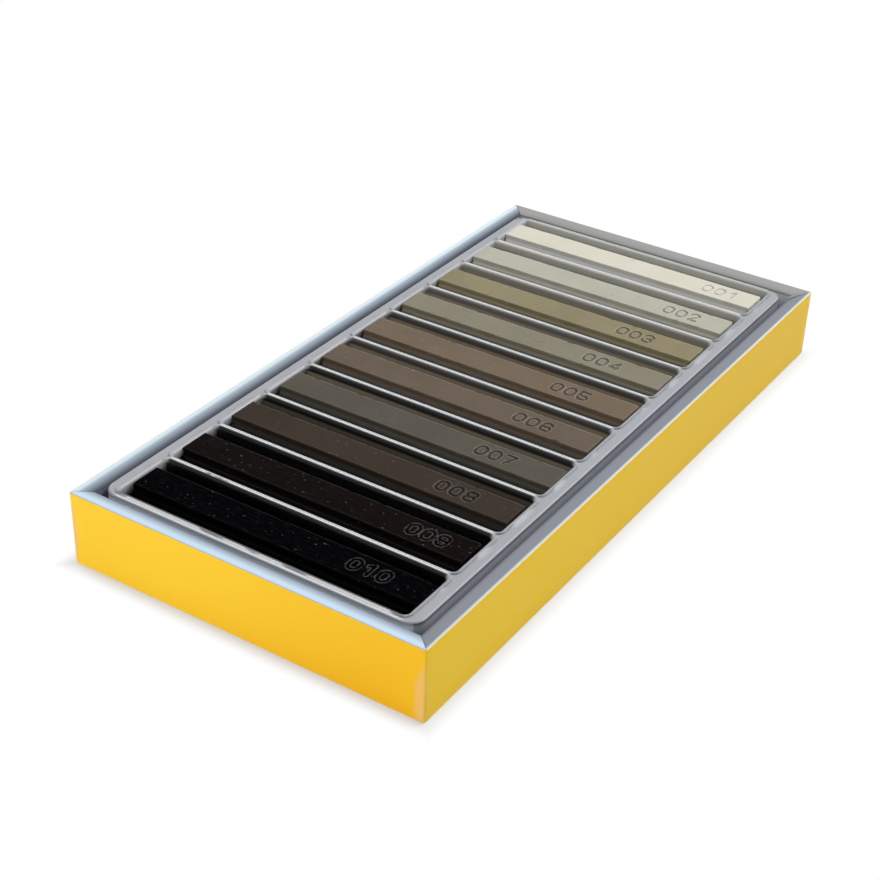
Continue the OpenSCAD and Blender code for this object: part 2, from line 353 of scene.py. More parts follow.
def carton_sheet():
    """Points and faces of the outer side of the folded blank."""
    steps_x, steps_y, steps_corner = 44, 84, 6
    side_steps = [steps_x, steps_y, steps_x, steps_y]
    points = []
    faces = []
    rings = []
    base_rows = [(3.6, 0.0), (3.0, 0.0)]
    base_fold = [(base_fold_r * (1 - math.sin(a)), base_fold_r * (1 - math.cos(a)))
                 for a in np.linspace(0, math.pi / 2, 6)]
    wall_rows = [(0.0, z) for z in np.linspace(wall_foot_z, carton_h - fold_r, 9)]
    for inset, z in base_rows + base_fold + wall_rows:
        radius = max(carton_corner_r, wall_corner_r - inset)
        loop = rounded_loop(carton_half_w - inset, carton_half_l - inset, radius,
                            steps_x, steps_y, steps_corner)
        rings.append(range(len(points), len(points) + len(loop)))
        bulge = math.sin(math.pi * min(1, z / (carton_h - fold_r)))
        for x, y in loop:
            sag = bulge * (wall_sag + wall_sag_spread * wobble(x, y, z, 30, 3.0))
            nearness_x = 1 - (abs(x) / carton_half_w) ** 6
            nearness_y = 1 - (abs(y) / carton_half_l) ** 8
            if abs(abs(y) - carton_half_l) < 0.01:
                y -= math.copysign(sag * nearness_x, y)
            elif abs(abs(x) - carton_half_w) < 0.01:
                x -= math.copysign(sag * nearness_y, x)
            points.append((x, y, z))
    faces.append(tuple(reversed(rings[0])))
    for lower, upper in zip(rings, rings[1:]):
        faces += band_faces(list(lower), list(upper))
    start = 0
    top = rings[-1]
    for side in range(4):
        count = side_steps[side] + 1
        row = [top[start + i] for i in range(count)]
        for i in range(1, steps_corner):
            x, y, z = points[top[start + count - 1 + i]]
            points[top[start + count - 1 + i]] = (x, y, z + corner_rise)
        start += count + steps_corner - 1
        half_side = carton_half_w if side % 2 == 0 else carton_half_l
        half_other = carton_half_l if side % 2 == 0 else carton_half_w
        turn = Matrix.Rotation(math.pi / 2 * side, 2)
        shares = np.linspace(-1, 1, count)
        for inset, z in rim_profile():
            across = carton_corner_r ** 2 - max(0.0, carton_corner_r - inset) ** 2
            end = min(half_side - inset - mitre_gap / 2, half_side - carton_corner_r + math.sqrt(across))
            new_row = []
            for share in shares:
                along = share * end
                depth = min(1, inset / 2) * min(1, (z - leg_end_z) / 8)
                lift = panel_wave * depth * wobble(along, 0, inset * 4, 26, 11.0 + 7 * side)
                here = turn @ Vector((along, inset - half_other))
                new_row.append(len(points))
                points.append((here.x, here.y, z + min(0, lift) if z > carton_h - 0.3 else z + lift))
            faces += band_faces(row, new_row, closed=False)
            row = new_row
    return points, faces


def board_finish():
    """Coated board: yellow ink outside, bare bluish white coating inside the rim, both with painted light
    and shade.
    """
    finish = Finish("carton_board")
    place = finish.place()
    parts = finish.node("ShaderNodeSeparateXYZ", None, {0: place})
    x, y, z = parts.out("X"), parts.out("Y"), parts.out("Z")
    waver = finish.cloud(place, 420, 3) - 0.5
    edge_x = carton_half_w * mm - abs(x)
    edge_y = carton_half_l * mm - abs(y)
    outside = edge_x.or_less(edge_y).rise(0.00044, 0.00036)
    below_ink_end = (z + waver * 0.00016).rise((carton_h - 0.20) * mm, (carton_h - 0.28) * mm)
    printed = (outside * below_ink_end).or_more(z.rise(0.00035, 0.00025))
    long_face = (edge_y - edge_x).rise(-0.0003, 0.0002)
    end_face = 1 - long_face

    drift = finish.cloud(place, 14, 2)
    # The ink is darker towards the right (+x) and towards the foot, with a soft random drift.
    darker_low_right = ((x * 9 - z * 14 + 0.5) * 0.7 + drift * 0.35).rise(0.15, 1.0)
    ink = finish.mix(darker_low_right, colour_of(255, 206, 42), colour_of(242, 180, 10))
    # Painted shade: the long sides take a darker copy of the yellow ink, darker still towards the far end.
    side_ink_shaded = finish.mix(y.rise(-0.09, 0.09), colour_of(243, 200, 8), colour_of(233, 190, 0))
    ink = finish.mix(long_face, ink, side_ink_shaded)
    mottle = finish.cloud(place, 900, 4, 0.6)
    ink = finish.mix(mottle.rise(0.55, 0.8) * 0.10, ink, colour_of(255, 224, 130))
    # Painted sheen: pale bands down the carton's corners and along the foot beside them, where the board
    # curves round.
    height = (z - 0.009) / 0.0125
    lens_wide = (1 - height * height) * 0.0024
    foot_wide = z.rise(0.0195, 0.009) * 0.0031
    sheen_wide = lens_wide + (foot_wide - lens_wide) * x.rise(-0.001, 0.001)
    sheen_end = (sheen_wide - edge_x).rise(-0.0002, 0.0014) * end_face
    sheen_long = (foot_wide * 0.7 - edge_y).rise(-0.0006, 0.0016) * long_face * 0.4
    ink = finish.mix(sheen_end.or_more(sheen_long) * 0.55, ink, colour_of(236, 190, 126))
    rubbed_edge = (edge_x + edge_y).rise(0.00042, 0.00012) * finish.cloud(place, 1500, 3).rise(0.42, 0.62)
    foot = z.rise(0.0006, 0.0001) * finish.cloud(place, 1100, 3).rise(0.45, 0.65)
    ink = finish.mix(rubbed_edge.or_more(foot) * 0.45, ink, colour_of(250, 232, 190))

    # Painted light and shade: each rim panel takes its own lit or shaded tone of the one coating, the near
    # and left ones lit, the far and right ones shaded, and each darkens towards the inlay as painted shade.
    end_panel = (edge_x - edge_y).rise(-0.0001, 0.0001)
    to_right = x.rise(-0.001, 0.001)
    to_far = y.rise(-0.001, 0.001)
    inset = edge_x.or_less(edge_y) * 1000
    long_panel_lit = finish.mix(to_right, colour_of(190, 206, 220), colour_of(145, 149, 159))
    end_panel_lit = finish.mix(to_far, colour_of(214, 235, 255), colour_of(166, 166, 164))
    panel_lit = finish.mix(end_panel, long_panel_lit, end_panel_lit)
    long_panel_shaded = finish.mix(to_right, colour_of(80, 85, 97), colour_of(102, 105, 117))
    end_panel_shaded = finish.mix(to_far, colour_of(108, 115, 126), colour_of(144, 143, 140))
    panel_shaded = finish.mix(end_panel, long_panel_shaded, end_panel_shaded)
    shade_from = (1 - end_panel) * (to_right * 2.0 + 1.2) + end_panel * (to_far * 1.6 + 1.3)
    shade_to = (1 - end_panel) * (to_right * 0.6 + 4.0) + end_panel * (to_far * 0.7 + 4.8)
    # The share of painted shade, rising towards the inlay.
    fall = ((inset - shade_from) / (shade_to - shade_from)).or_more(0).or_less(1)
    coat = finish.mix(fall, panel_lit, panel_shaded)
    # Painted highlight: a pale strip along the outer edge of the long rim panels.
    rim_highlight = inset.rise(2.1 - to_right * 1.3, 0.8 - to_right * 0.45) * (1 - end_panel)
    rim_highlight_tone = finish.mix(to_right, colour_of(236, 250, 255), colour_of(226, 232, 238))
    coat = finish.mix(rim_highlight * 0.8, coat, rim_highlight_tone)
    # Painted light on the upright legs down in the gap, with less of it at the near end of the long sides.
    on_leg = z.rise((carton_h - rim_fall - 0.25) * mm, (carton_h - rim_fall - 0.6) * mm)
    near_end = y.rise(-0.0875, -0.0925)
    long_leg_lit_and_shaded = finish.mix(near_end, colour_of(176, 180, 188), colour_of(108, 112, 124))
    coat = finish.mix(on_leg, coat, finish.mix(end_panel, long_leg_lit_and_shaded, colour_of(214, 217, 222)))
    on_floor = z.rise(0.00075, 0.0006)
    coat = finish.mix(on_floor, coat, colour_of(190, 193, 200))
    coat = finish.mix(finish.cloud(place, 1700, 3).rise(0.6, 0.75) * 0.10, coat, panel_lit)
    over_wall = z.rise((carton_h - 0.32) * mm, (carton_h - 0.2) * mm)
    under_top = z.rise((carton_h - 0.03) * mm, (carton_h - 0.12) * mm)
    crease = over_wall * under_top * inset.rise(0.9, 0.5)
    long_crease = finish.mix(to_right, colour_of(186, 193, 202), colour_of(246, 238, 214))
    # Painted shade: a grey-blue line along the fold on the end faces; on the long sides the fold shows a
    # pale line of bare board.
    coat = finish.mix(crease * end_face * 0.55, coat, colour_of(120, 132, 150))
    coat = finish.mix(crease * long_face * 0.9, coat, long_crease)
    colour = finish.mix(printed, coat, ink)

    fibre = finish.cloud(finish.stretched(place, (1, 1, 0.5)), 2600, 3)
    relief = fibre * 0.6 + finish.cloud(place, 300, 2) * 0.8
    roughness = finish.cloud(place, 130, 3) * 0.10 + 0.40 - printed * 0.04 + foot * 0.2
    return finish.surface(colour, roughness, relief, relief_depth=0.00003, Specular_IOR_Level=0.15)


carton_finish = board_finish()
carton_points, carton_faces = carton_sheet()
carton = thickened(made_piece("carton_blank", carton_points, carton_faces, carton_finish), carton_board)
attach(carton, "carton")
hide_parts("folded_carton")


# Corner tongue. At the far right corner the end of the far rim panel wasn't cut to the mitre: its pointed
# tip is of the same board and lies over the right panel.
tongue_board = 0.3
tongue_setback = 0.12
tongue_clear = 0.30


def tongue_sheet():
    """Points and faces of the tongue, which lies on the right rim panel from the outer corner to its tip."""
    profile = [(0.0, carton_h - fold_r)] + rim_profile()
    insets = [row[0] for row in profile]
    heights = [row[1] for row in profile]
    root = Vector((0.6, 0.9))
    tip = Vector((4.1, 7.6))
    inner = Vector((4.25, 4.3))
    inner_share = 0.55
    steps_along, steps_across = 16, 8
    points = []
    rows = []
    for i in range(steps_along + 1):
        share = i / steps_along
        free = root.lerp(tip, share) + Vector((-0.28, 0.1)) * math.sin(math.pi * share)
        if share < inner_share:
            bound = root.lerp(inner, share / inner_share)
        else:
            bound = inner.lerp(tip, (share - inner_share) / (1 - inner_share))
        row = []
        for j in range(steps_across + 1):
            spot = free.lerp(bound, j / steps_across)
            height = np.interp(min(spot.x, inner.x), insets, heights)
            height += tongue_clear + 0.08 * share * (1 - j / steps_across)
            row.append(len(points))
            points.append((carton_half_w - tongue_setback - spot.x, carton_half_l - spot.y,
                           min(height, carton_h - 0.01)))
        rows.append(row)
    faces = []
    for first, second in zip(rows, rows[1:]):
        faces += band_faces(first, second, closed=False)
    return points, faces


def tongue_finish():
    """The far rim panel's tone, a painted shade of the coating, faintly clouded."""
    finish = Finish("tongue_board")
    place = finish.place()
    clouds = finish.cloud(place, 400, 3).rise(0.3, 0.7)
    # Painted shade: the far panel's shaded grey.
    coat = finish.mix(clouds, colour_of(150, 150, 152), colour_of(158, 158, 160))
    fibre = finish.cloud(place, 2600, 3)
    roughness = finish.cloud(place, 130, 3) * 0.10 + 0.40
    return finish.surface(coat, roughness, fibre, relief_depth=0.00003, Specular_IOR_Level=0.3)


tongue_points, tongue_faces = tongue_sheet()
tongue = thickened(made_piece("corner_tongue", tongue_points, tongue_faces, tongue_finish()), tongue_board)
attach(tongue, "carton")


# Inlay. One sheet of grey plastic, drawn down hot over a mould: the bars between the ten cavities are as
# round as the sheet lets them be and flare where they run into the flange. It drops loosely into the
# carton.
inlay_half_w = 44.0
inlay_half_l = 93.45
inlay_top = 19.5
inlay_foot = 0.5
inlay_rest_x = -0.84
inlay_corner_r = 4.0
inlay_edge_r = 0.55
inlay_sheet = 0.5
stick_pitch = 18.5
cavity_half_l = 40.6
cavity_half_w = 8.6
cavity_floor_z = 11.7
cavity_lean_w = 1.25
cavity_lean_l = 0.5
cavity_corner_r = 1.6
wall_waver = 0.05
ridge_r = 0.66
scuffed_bar = -4
row_middles = [(4.5 - index) * stick_pitch for index in range(10)]


def fillet_run(lean, depth, z_under_top):
    """How far outside its sharp edge a cavity's wall and rounded edge run at a depth under the flange."""
    slope = lean / depth
    turn = math.pi / 2 - math.atan(slope)
    tangent = ridge_r * math.tan(turn / 2)
    end_depth = ridge_r * (1 - math.cos(turn))
    if z_under_top >= end_depth:
        return -slope * z_under_top
    angle = math.acos(1 - z_under_top / ridge_r)
    return tangent - ridge_r * math.sin(angle)


def inlay_surface():
    """Points and faces of the sheet's upper side, with the flange filled in between its loops."""
    points = []
    faces = []

    def add_loop(loop, z):
        first = len(points)
        points.extend((x + inlay_rest_x, y, z) for x, y in loop)
        return list(range(first, len(points)))

    outer_rows = [(0.0, inlay_foot), (0.0, 6.0), (0.0, 12.0)]
    outer_rows += [(inlay_edge_r * (1 - math.cos(a)), inlay_top - inlay_edge_r * (1 - math.sin(a)))
                   for a in np.linspace(0, math.pi / 2, 8)]
    outer_rows.append((inlay_edge_r + 0.06, inlay_top))
    previous = None
    for inset, z in outer_rows:
        loop = rounded_loop(inlay_half_w - inset, inlay_half_l - inset, inlay_corner_r - inset,
                            steps_x=30, steps_y=60, steps_corner=9)
        ring = add_loop(loop, z)
        if previous:
            faces += band_faces(previous, ring)
        previous = ring
    flange_loops = [previous]

    depth = inlay_top - cavity_floor_z
    fillet_turns = np.linspace(0, math.radians(78), 8)
    fillet_depths = [ridge_r * (1 - math.cos(a)) for a in fillet_turns]
    wall_depths = [1.6, 3.4, 5.2, depth - 0.35, depth - 0.1]
    edge_row = [(0, -0.045)]
    floor_rows = [(depth, 0.25), (depth, 0.6)]
    rows = edge_row + [(under, 0) for under in fillet_depths + wall_depths] + floor_rows
    for middle in row_middles:
        previous = None
        for under, pulled_in in rows:
            run_x = fillet_run(cavity_lean_l, depth, under) - pulled_in
            run_y = fillet_run(cavity_lean_w, depth, under) - pulled_in
            radius = max(0.4, cavity_corner_r + (run_x + run_y) / 2)
            loop = rounded_loop(cavity_half_l + run_x, cavity_half_w + run_y, radius,
                                steps_x=30, steps_y=4, steps_corner=7)
            waver = wall_waver * min(1, under)
            shaped = []
            for x, y in loop:
                shift = waver * wobble(x, middle + y, under, 14, 21.0)
                shaped.append((x, middle + y + shift))
            ring = add_loop(shaped, inlay_top - under)
            if previous:
                faces += band_faces(ring, previous)
            else:
                flange_loops.append(ring)
            previous = ring
        faces.append(tuple(previous))

    fill = bmesh.new()
    corners = {}
    edges = []
    for loop in flange_loops:
        made = [fill.verts.new((points[i][0], points[i][1], 0)) for i in loop]
        corners.update(zip(made, loop))
        edges += [fill.edges.new((made[k], made[(k + 1) % len(made)])) for k in range(len(made))]
    filled = bmesh.ops.triangle_fill(fill, use_beauty=True, use_dissolve=False, edges=edges,
                                     normal=(0, 0, 1))
    for face in [item for item in filled["geom"] if isinstance(item, bmesh.types.BMFace)]:
        numbers = [corners[vert] for vert in face.verts]
        faces.append(tuple(numbers if face.normal.z > 0 else reversed(numbers)))
    fill.free()
    return points, faces


def inlay_finish():
    """Grey moulded sheet: smooth, half glossy, rippled by the mould, scuffed on one bar; painted highlights,
    shade and reflections.
    """
    finish = Finish("inlay_plastic")
    place = finish.place()
    parts = finish.node("ShaderNodeSeparateXYZ", None, {0: place})
    x, y, z = parts.out("X") - inlay_rest_x * mm, parts.out("Y"), parts.out("Z")
    out_x = abs(x) * 1000
    out_y = abs(y) * 1000
    under = inlay_top - z * 1000
    clouds = finish.cloud(place, 45, 3).rise(0.3, 0.7)
    tone = finish.mix(clouds, colour_of(172, 175, 181), colour_of(178, 181, 187))

    row = y * (1000 / stick_pitch)
    bar = finish.maths("ROUND", row)
    from_bar = (row - bar) * stick_pitch
    near_rim = bar.rise(-4.4, -4.6)
    far_rim = bar.rise(4.4, 4.6)
    from_crown = from_bar + near_rim * 0.35
    # Painted highlight along the top of each bar, moved outwards on the near rim and fainter on the far rim.
    crown_highlight = from_crown.rise(-0.52, -0.24) * from_crown.rise(0.50, 0.25) * under.rise(0.4, 0.08)
    inside = (cavity_half_l + 0.3 - out_x).rise(0.0, 2.2)
    tone = finish.mix(inside * crown_highlight * (0.9 - far_rim * 0.5), tone, colour_of(246, 247, 248))
    mid_part = (cavity_half_l - 0.2 - out_x).rise(0.0, 1.6)
    # Painted shade on the far side of each bar and on the inner side of the near rim.
    far_bar_shade = from_bar.rise(0.2, 0.6) * from_bar.rise(1.4, 0.9)
    near_rim_shade = near_rim * from_bar.rise(-0.02, 0.2) * from_bar.rise(2.0, 1.6)
    tone = finish.mix(mid_part * near_rim_shade * 0.8, tone, colour_of(78, 80, 80))
    tone = finish.mix(mid_part * far_bar_shade * 0.6, tone, colour_of(60, 60, 62))

    # Painted shade on the cavity walls: dark under each bar, darker in the rows of darker wax. Lower down
    # the walls take a painted reflection of the wax flanks, and near the floor the plastic's own grey.
    pale_row = bar.rise(0.9, 4.6)
    dark_row = bar.rise(0.0, -1.3)
    black_row = bar.rise(-0.6, -3.2)
    wall_shade = finish.mix(pale_row, colour_of(72, 71, 68), colour_of(180, 179, 173))
    wall_shade = finish.mix(dark_row, wall_shade, colour_of(12, 12, 13))
    deep_reflection_and_shade = finish.mix(pale_row, colour_of(190, 176, 154), colour_of(158, 157, 150))
    deep_reflection_and_shade = finish.mix(black_row, deep_reflection_and_shade, colour_of(9, 9, 11))
    wall_shade = finish.mix(under.rise(0.75, 1.5), wall_shade, deep_reflection_and_shade)
    # Painted shade on the cavity end walls, darker with depth and beside the middle bars.
    end_wall = (out_x - cavity_half_l + 1.2).rise(0.0, 0.5)
    end_wall_top_shade = finish.mix(abs(bar + 0.5).rise(1.0, 3.0), colour_of(112, 110, 104), colour_of(168, 169, 171))
    end_wall_shade = finish.mix(under.rise(0.4, 3.5), end_wall_top_shade, colour_of(90, 91, 92))
    wall_shade = finish.mix(end_wall, wall_shade, end_wall_shade)
    wall_shade = finish.mix(under.rise(3.0, 5.5), wall_shade, colour_of(160, 162, 167))
    # Painted shade on the top of the outer skirt and painted light below it, both lighter at the ends.
    outer_end = (out_y - inlay_half_l + 1.2).rise(0.0, 0.3)
    outer_side = (out_x - inlay_half_w + 1.2).rise(0.0, 0.3)
    outer_corner = (out_x - inlay_half_w + 2.4).rise(0.0, 0.3) * (out_y - inlay_half_l + 3.0).rise(0.0, 0.3)
    outer = outer_side.or_more(outer_end).or_more(outer_corner)
    skirt_top_shade = finish.mix(outer_end, colour_of(100, 105, 114), colour_of(158, 163, 170))
    skirt_low_lit = finish.mix(outer_end, colour_of(168, 172, 180), colour_of(215, 218, 224))
    skirt_light_and_shade = finish.mix(under.rise(0.5, 1.4), skirt_top_shade, skirt_low_lit)
    wall_shade = finish.mix(outer, wall_shade, skirt_light_and_shade)
    # The painted shade covers the near side of each bar and the sheet from just under the flange down.
    near_bar_shade = from_bar.rise(-0.28, -0.58) * from_bar.rise(-2.2, -2.0) * mid_part * (1 - outer)
    tone = finish.mix(near_bar_shade.or_more(under.rise(0.12, 0.55)), tone, wall_shade)

    dust = finish.cloud(place, 2400, 2).rise(0.70, 0.76)
    tone = finish.mix(dust * 0.35, tone, colour_of(120, 118, 116))
    along = x * 1000
    scuffed = along.rise(-29.5, -27.5) * along.rise(-21.0, -23.0) * abs(bar - scuffed_bar).rise(0.1, 0.05)
    scrapes = finish.cloud(finish.stretched(place, (0.3, 1, 1)), 1700, 1).rise(0.50, 0.57)
    scuff = scuffed * abs(from_bar + 0.25).rise(0.38, 0.22) * scrapes
    tone = finish.mix(scuff * 0.8, tone, colour_of(58, 60, 58))
    relief = finish.cloud(place, 130, 2) + finish.cloud(place, 1800, 2) * 0.10
    roughness = finish.cloud(place, 90, 3) * 0.16 + 0.26 + dust * 0.2
    return finish.surface(tone, roughness, relief, relief_depth=0.00006, Specular_IOR_Level=0.5)


inlay_points, inlay_faces = inlay_surface()
inlay = made_piece("inlay_sheet", inlay_points, inlay_faces, inlay_finish())
inlay = thickened(inlay, inlay_sheet, sharp_angle=50)
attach(inlay, "inlay")
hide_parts("inlay_tray")


# Wax sticks. Ten bars of soft wax, cast in a stepped mould and knocked out by hand: a flat band on top with
# a pressed number, a hollow step and a scored ledge on each side, leaning ends, and chips along the edges.
stick_half_l = 40.0
stick_h = 8.3
stick_face_half = 4.2
stick_ledge_half = 6.6
stick_base_half = 7.1
stick_ledge_z = 6.3
stick_hollow_r = 0.9
stick_ledge_fall = 0.3
stick_end_lean = 0.7
stick_edge_r = 0.2
stick_play = 0.6
stick_shares = [-0.4, -0.3, -0.1, 0.1, 0, -0.1, 0.6, -0.4, -0.6, 0.7]
numeral_w = 3.2
numeral_h = 4.5
numeral_pitch = 3.9
numeral_margin = 12.3
numeral_shifts = [7, 4, -0.8, -1, 0, 0, 0, 1.5, 6, 2.3]
stroke_w = 0.7
stroke_depth = 0.36
lip_h = 0.07
fine_step = 0.14
fine_margin = 0.6
end_round = 0.4
lump_size = 16
dent_size = 3.1
chip_count = 6


def arc(centre_x, centre_y, radius, start, end):
    """Points of an arc between two angles in degrees."""
    count = max(3, int(abs(end - start) / 12))
    return [(centre_x + radius * math.cos(math.radians(a)), centre_y + radius * math.sin(math.radians(a)))
            for a in np.linspace(start, end, count)]


def numeral_lines(digit):
    """Middle lines of a numeral's strokes, in millimetres from its lower left corner."""
    half = stroke_w / 2
    wide = numeral_w - half
    tall = numeral_h - half
    lobe_r = (numeral_h + stroke_w) / 4 - half
    lobe_left = half + lobe_r
    lobe_right = wide - lobe_r
    low = half + lobe_r
    high = tall - lobe_r
    big_r = (numeral_w - stroke_w) / 2
    middle = numeral_w / 2
    low_lobe = arc(lobe_right, low, lobe_r, -90, 90) + arc(lobe_left, low, lobe_r, 90, 270)
    low_lobe.append((lobe_right, half))
    high_lobe = arc(lobe_right, high, lobe_r, -90, 90) + arc(lobe_left, high, lobe_r, 90, 270)
    high_lobe.append((lobe_right, numeral_h / 2))
    round_end = arc(middle, half + big_r, big_r, 180, 360) + arc(middle, tall - big_r, big_r, 0, 180)
    shoulder = arc(lobe_left, high, lobe_r, 180, 90)
    bowl = arc(lobe_right, low, lobe_r, 90, -90) + arc(lobe_left, low, lobe_r, 270, 180)
    waist = (0.4 * numeral_w, numeral_h / 2)
    six = [low_lobe, [(half, low)] + arc(middle, tall - big_r, big_r, 180, 11)]
    lines = {
        0: [round_end + [(half, low)]],
        1: [[(0.6 * numeral_w, half), (0.6 * numeral_w, tall), (0.24 * numeral_w, 0.76 * numeral_h)]],
        2: [shoulder + arc(lobe_right, high, lobe_r, 90, 0) + [(half, half), (wide, half)]],
        3: [shoulder + arc(lobe_right, high, lobe_r, 90, -90) + [waist], [waist] + bowl],
        4: [[(0.72 * numeral_w, half), (0.72 * numeral_w, tall),
             (half, 0.3 * numeral_h), (wide, 0.3 * numeral_h)]],
        5: [[(wide, tall), (half, tall), (half, numeral_h / 2)] + bowl],
        6: six,
        7: [[(half, tall), (wide, tall), (0.3 * numeral_w, half)]],
        8: [low_lobe, high_lobe],
        9: [[(numeral_w - px, numeral_h - py) for px, py in line] for line in six],
    }
    return lines[digit]


def distance_to_lines(px, py, lines):
    """Distance from each point to the nearest of some polylines."""
    best = np.full(px.shape, 99.0)
    for line in lines:
        for (ax, ay), (bx, by) in zip(line, line[1:]):
            run_x, run_y = bx - ax, by - ay
            length = max(1e-9, run_x ** 2 + run_y ** 2)
            share = np.clip(((px - ax) * run_x + (py - ay) * run_y) / length, 0, 1)
            best = np.minimum(best, np.hypot(px - ax - share * run_x, py - ay - share * run_y))
    return best


def stick_half_section():
    """Points (y, z, edge) from the band's middle round to the base's middle. Edge is 1 on a worn edge, which
    also takes a painted highlight.
    """
    band = [(y, stick_h, 0) for y in np.arange(0, 2.6, fine_step)]
    band += [(y, stick_h, 0) for y in (2.8, 3.2, 3.6, 3.85)]
    for a in np.linspace(90, 0, 5):
        angle = math.radians(a)
        band.append((stick_face_half - stick_edge_r + stick_edge_r * math.cos(angle),
                     stick_h - stick_edge_r + stick_edge_r * math.sin(angle), 1))
    riser = [(stick_face_half + 0.02, 7.6, 0.1), (stick_face_half + 0.04, stick_ledge_z + stick_hollow_r, 0)]
    hollow = []
    for a in np.linspace(180, 270, 7)[1:]:
        angle = math.radians(a)
        hollow.append((stick_face_half + stick_hollow_r + stick_hollow_r * math.cos(angle),
                       stick_ledge_z + stick_hollow_r + stick_hollow_r * math.sin(angle), 0))
    ledge_run = stick_ledge_half - 0.25 - stick_face_half - stick_hollow_r
    ledge = []
    scores = (0, -0.10, 0.0, -0.03, -0.12, -0.02, 0.02)
    for share, score in zip(np.linspace(0.12, 0.92, 7), scores):
        ledge.append((stick_face_half + stick_hollow_r + ledge_run * share,
                      stick_ledge_z - stick_ledge_fall * share + score, 0))
    low_z = stick_ledge_z - stick_ledge_fall
    lip = [(stick_ledge_half - 0.20, low_z + 0.01, 0.6), (stick_ledge_half - 0.07, low_z - 0.05, 0.8),
           (stick_ledge_half, low_z - 0.2, 0.5)]
    flank = []
    for share in (0.25, 0.5, 0.75, 0.95):
        flank_y = stick_ledge_half + (stick_base_half - stick_ledge_half) * share
        flank.append((flank_y, low_z * (1 - share), 0))
    base = [(stick_base_half - 0.02, 0.12, 0.2), (stick_base_half - 0.12, 0.02, 0.2)]
    base.append((stick_base_half - 0.3, 0, 0))
    base += [(y, 0, 0) for y in (5.2, 3.0, 0)]
    return band + riser + hollow + ledge + lip + flank + base


def wax_stick_mesh(index):
    """Points and faces of one stick in its own place, and its marks: worn edges with painted highlights,
    engraved strokes, raised rims.
    """
    random = np.random.default_rng(400 + index)
    half = stick_half_section()
    ring = np.array(half + [(-y, z, edge) for y, z, edge in half[-2:0:-1]])
    number_right = stick_half_l - numeral_margin + numeral_shifts[index]
    number_left = number_right - 2 * numeral_pitch - numeral_w
    fine_from = number_left - fine_margin
    fine_to = number_right + fine_margin
    stations = np.concatenate([
        np.linspace(-stick_half_l + end_round, fine_from, 48)[:-1],
        np.arange(fine_from, fine_to, fine_step),
        np.linspace(fine_to, stick_half_l - end_round, 10)])
    end_rows = [(0.27, 0.0), (0.16, 0.03), (0.07, 0.1), (0.0, 0.24)]
    plan = [(-stick_half_l + inset, shrink) for inset, shrink in reversed(end_rows)]
    plan += [(x, 0.0) for x in stations]
    plan += [(stick_half_l - inset, shrink) for inset, shrink in end_rows]

    x = np.array([row[0] for row in plan])[:, None] * np.ones(len(ring))[None, :]
    shrink = np.array([row[1] for row in plan])[:, None]
    y = ring[None, :, 0] * (1 - shrink / stick_base_half)
    z = stick_h / 2 + (ring[None, :, 1] - stick_h / 2) * (1 - 2 * shrink / stick_h)
    edge = np.ones_like(x) * ring[None, :, 2]
    share_z = np.clip(z / stick_h, 0, 1)
    x = x / stick_half_l * (stick_half_l - stick_end_lean * (1 - share_z))

    wear_and_highlight = edge * 0.55
    band = (z > stick_h - 0.02) & (np.abs(y) < stick_face_half)
    groove = np.zeros_like(x)
    lips = np.zeros_like(x)
    for place_index, digit in enumerate(int(c) for c in "%03d" % (index + 1)):
        left = number_left + place_index * numeral_pitch
        gap = distance_to_lines(x - left, y + numeral_h / 2, numeral_lines(digit))
        cut = np.clip((stroke_w / 2 + 0.09 - gap) / 0.2, 0, 1)
        cut = cut * cut * (3 - 2 * cut) * band
        lip = np.exp(-((gap - stroke_w / 2 - 0.17) / 0.10) ** 2) * band * (cut < 0.5)
        z = z - stroke_depth * cut + lip_h * lip
        groove = np.maximum(groove, cut)
        lips = np.maximum(lips, lip)

    lumps = np.zeros_like(x)
    dents = np.zeros_like(x)
    for row in range(x.shape[0]):
        for column in range(x.shape[1]):
            spot = (x[row, column], y[row, column], z[row, column])
            lumps[row, column] = wobble(*spot, lump_size, 31.0 + 5 * index)
            dents[row, column] = wobble(*spot, dent_size, 77.0 + 5 * index)
    upper = np.clip((z - 0.5) / 4, 0, 1)
    z = z + upper * (0.05 * lumps - 0.09 + 0.018 * dents)
    y = y + 0.05 * upper * np.sign(y) * dents * np.clip(np.abs(y) - 3.5, 0, 1)

    for _ in range(chip_count):
        at = random.uniform(-stick_half_l, stick_half_l)
        side = random.choice([-1, 1])
        length = random.uniform(0.25, 0.9)
        depth = random.uniform(0.06, 0.2)
        on_edge = edge * (np.sign(y) == side) * (z > 7.4)
        bite = np.exp(-((x - at) / length) ** 2) * on_edge * depth
        y = y - side * bite
        z = z - bite * 0.8
        wear_and_highlight = np.maximum(wear_and_highlight, np.clip(bite * 3, 0, 0.9))
    at_end = np.clip((np.abs(x) - (stick_half_l - 1.4)) / 1.2, 0, 1)
    x = x - np.sign(x) * at_end * (0.10 + 0.09 * dents)
    cut_back = np.clip((np.abs(y) - 4.4) / 2.4, 0, 1) * np.clip((np.abs(x) - stick_half_l + 3) / 3, 0, 1)
    x = x - np.sign(x) * cut_back * np.where(x > 0, 0.8, 0.3) * (1 + 0.3 * lumps)
    z = np.minimum(z, stick_h - 0.005)
    z = z - at_end * upper * 0.05

    faces = []
    count = len(ring)
    for row in range(len(plan) - 1):
        first = list(range(row * count, row * count + count))
        second = list(range((row + 1) * count, (row + 2) * count))
        faces += band_faces(first, second)
    faces.append(tuple(range(count - 1, -1, -1)))
    faces.append(tuple(range((len(plan) - 1) * count, len(plan) * count)))
    points = np.stack([x, y, z], axis=-1).reshape(-1, 3)
    return points, faces, {"wear_and_highlight": wear_and_highlight.reshape(-1), "groove": groove.reshape(-1), "lips": lips.reshape(-1)}


white = (1, 1, 1, 1)
black = (0, 0, 0, 1)
soot = (0.02, 0.02, 0.02, 1)


